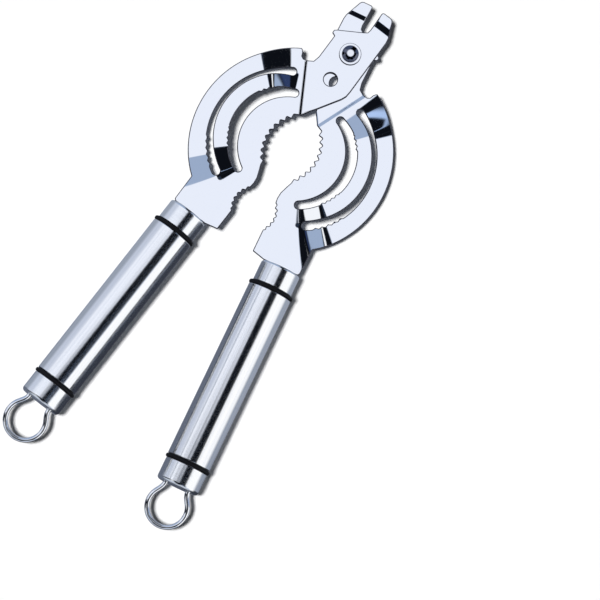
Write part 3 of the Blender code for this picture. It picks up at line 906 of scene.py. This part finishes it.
# Studio reflections: cards on the dome over the tool, as (name, low x, high x, low y, high y, softness,
# colour), where x and y are the level parts of the direction to the card. Later cards cover earlier ones.
SKY_BASE = (0.34, 0.43, 0.60)
BLACK_CARD = (0.004, 0.005, 0.008)
REAR_CARD = (0.52, 0.57, 0.66)
COOL_CARD = (0.95, 0.97, 1.0)
WHITE_CARD = (1.02, 1.03, 1.05)
CARDS = (
    ("dark room", -1.1, 0.66, -1.1, -0.12, 0.02, BLACK_CARD),
    ("light behind", -1.1, 1.1, -1.1, -0.80, 0.04, REAR_CARD),
    ("light behind left", -1.1, -0.18, -0.86, -0.50, 0.04, REAR_CARD),
    ("light behind right", 0.28, 1.1, -0.86, -0.50, 0.04, REAR_CARD),
    ("dark middle", -0.56, 0.66, -0.16, 0.00, 0.02, BLACK_CARD),
    ("dark flag", 0.05, 0.66, -0.02, 0.51, 0.02, BLACK_CARD),
    ("dark top flag", -0.20, 0.28, 0.36, 1.1, 0.02, BLACK_CARD),
    ("dark blue wall", 0.37, 0.66, 0.40, 0.49, 0.02, (0.03, 0.05, 0.13)),
    ("light slit", 0.24, 0.30, 0.40, 0.52, 0.01, COOL_CARD),
    ("overhead softbox", -1.1, 0.04, -0.01, 0.30, 0.02, (0.86, 0.90, 1.0)),
    ("left softbox", -1.1, -0.56, -0.12, 0.00, 0.02, (0.92, 0.94, 1.0)),
    ("dark strip", -0.24, 0.06, -0.16, 0.065, 0.02, (0.02, 0.03, 0.05)),
    ("left gap", -0.80, -0.75, -0.12, 0.10, 0.01, (0.25, 0.30, 0.40)),
    ("right softbox", 0.70, 1.1, -0.45, 0.10, 0.03, WHITE_CARD),
    ("near right softbox", 0.61, 1.1, 0.09, 0.55, 0.03, WHITE_CARD),
    ("blue card", 0.36, 0.56, -0.17, -0.05, 0.02, (0.45, 0.60, 0.90)),
    ("dark corner", 0.375, 0.66, -0.24, -0.10, 0.01, BLACK_CARD),
    ("dark notch", -0.32, -0.20, -0.16, 0.02, 0.01, BLACK_CARD),
    ("far left shade", -1.1, -0.86, -0.12, 0.30, 0.08, (0.55, 0.60, 0.72)),
    ("near left card", -0.66, -0.42, -0.50, -0.20, 0.02, COOL_CARD),
)
BELOW_AHEAD = (0.32, 0.36, 0.44)            # colours of the dome's lower half
BELOW_LEFT = (0.13, 0.15, 0.20)
BELOW_RIGHT = (0.035, 0.04, 0.055)
DIFFUSE_SKY = 0.03
KEY_TRAVEL = Vector((2.2, 2.0, -12.4))      # the way the key light falls
KEY_ANGLE = 9.0
KEY_STRENGTH = 3.4


def band(tree, value, low, high, softness):
    """1 where the value lies between low and high, with soft borders."""
    rise = node(tree, "ShaderNodeMapRange",
                {"Value": value, "From Min": low - softness, "From Max": low + softness},
                interpolation_type="SMOOTHSTEP")
    fall = node(tree, "ShaderNodeMapRange",
                {"Value": value, "From Min": high - softness, "From Max": high + softness,
                 "To Min": 1.0, "To Max": 0.0}, interpolation_type="SMOOTHSTEP")
    both = node(tree, "ShaderNodeMath", {0: rise.outputs["Result"], 1: fall.outputs["Result"]},
                operation="MULTIPLY")
    return both.outputs["Value"]


def colour_mix(tree, share, first, second):
    """The first colour where share is 0 and the second where it is 1."""
    mix = node(tree, "ShaderNodeMix", data_type="RGBA")
    sockets = {"Factor": mix.inputs[0], "A": mix.inputs[6], "B": mix.inputs[7]}
    for name, value in (("Factor", share), ("A", first), ("B", second)):
        if isinstance(value, bpy.types.NodeSocket):
            tree.links.new(value, sockets[name])
        else:
            sockets[name].default_value = value if name == "Factor" else (*value, 1.0)
    return mix.outputs[2]


def make_world():
    world = bpy.data.worlds.new("studio")
    world.use_nodes = True
    bpy.context.scene.world = world
    tree = world.node_tree
    tree.nodes.clear()
    coordinates = node(tree, "ShaderNodeTexCoord")
    axes = node(tree, "ShaderNodeSeparateXYZ", {"Vector": coordinates.outputs["Generated"]})
    x, y, z = axes.outputs
    colour = SKY_BASE
    for _, low_x, high_x, low_y, high_y, softness, card in CARDS:
        across = band(tree, x, low_x, high_x, softness)
        along = band(tree, y, low_y, high_y, softness)
        cover = node(tree, "ShaderNodeMath", {0: across, 1: along}, operation="MULTIPLY")
        colour = colour_mix(tree, cover.outputs["Value"], colour, card)
    side = node(tree, "ShaderNodeMapRange", {"Value": x, "From Min": -0.1, "From Max": 0.1})
    below = colour_mix(tree, side.outputs["Result"], BELOW_LEFT, BELOW_RIGHT)
    ahead = node(tree, "ShaderNodeMapRange", {"Value": y, "From Min": 0.06, "From Max": 0.14})
    below = colour_mix(tree, ahead.outputs["Result"], below, BELOW_AHEAD)
    sink = node(tree, "ShaderNodeMapRange", {"Value": z, "From Min": 0.0, "From Max": -0.3})
    colour = colour_mix(tree, sink.outputs["Result"], colour, below)
    studio = node(tree, "ShaderNodeBackground", {"Color": colour, "Strength": 1.0})
    soft = node(tree, "ShaderNodeBackground", {"Color": (1, 1, 1, 1), "Strength": DIFFUSE_SKY})
    backdrop = node(tree, "ShaderNodeBackground", {"Color": (1, 1, 1, 1), "Strength": 1.0})
    path = node(tree, "ShaderNodeLightPath")
    shown = node(tree, "ShaderNodeMixShader", {0: path.outputs["Is Glossy Ray"]})
    tree.links.new(soft.outputs[0], shown.inputs[1])
    tree.links.new(studio.outputs[0], shown.inputs[2])
    seen = node(tree, "ShaderNodeMixShader", {0: path.outputs["Is Camera Ray"]})
    tree.links.new(shown.outputs[0], seen.inputs[1])
    tree.links.new(backdrop.outputs[0], seen.inputs[2])
    output = node(tree, "ShaderNodeOutputWorld")
    tree.links.new(seen.outputs[0], output.inputs["Surface"])


def make_key_light():
    lamp = bpy.data.lights.new("key", "SUN")
    lamp.energy = KEY_STRENGTH
    lamp.angle = math.radians(KEY_ANGLE)
    key = bpy.data.objects.new("key", lamp)
    bpy.context.scene.collection.objects.link(key)
    key.rotation_euler = KEY_TRAVEL.to_track_quat("-Z", "Y").to_euler()
    key.visible_glossy = False


def main():
    scene = bpy.context.scene
    scene.view_settings.view_transform = "Standard"
    make_camera()
    make_floor()
    make_world()
    make_key_light()
    polished = make_polished_steel()
    painted_shade_edge = make_painted_shade_cut_steel()
    rubber = make_rubber()
    plastic = make_plastic()
    for arm in SIDES:
        satin = make_satin_steel(arm)
        make_plate(arm, polished, painted_shade_edge)
        make_front_cap(arm, satin)
        make_tube(arm, make_brushed_steel(arm))
        make_rear_cap(arm, satin)
        make_ring(arm, "front", rubber)
        make_ring(arm, "rear", rubber)
        make_loop(arm, polished)
        for plug in ("_front_plug", "_rear_plug"):
            hidden = frame["nodes"][arm + plug]
            hidden.data.materials.clear()
            hidden.data.materials.append(plastic)
    # The rivet's material paints a highlight on its crown and shade on its flanks.
    make_rivet(make_rivet_painted_light_steel())
    make_washer("top", polished, painted_shade_edge)
    make_washer("bottom", polished, painted_shade_edge)


main()
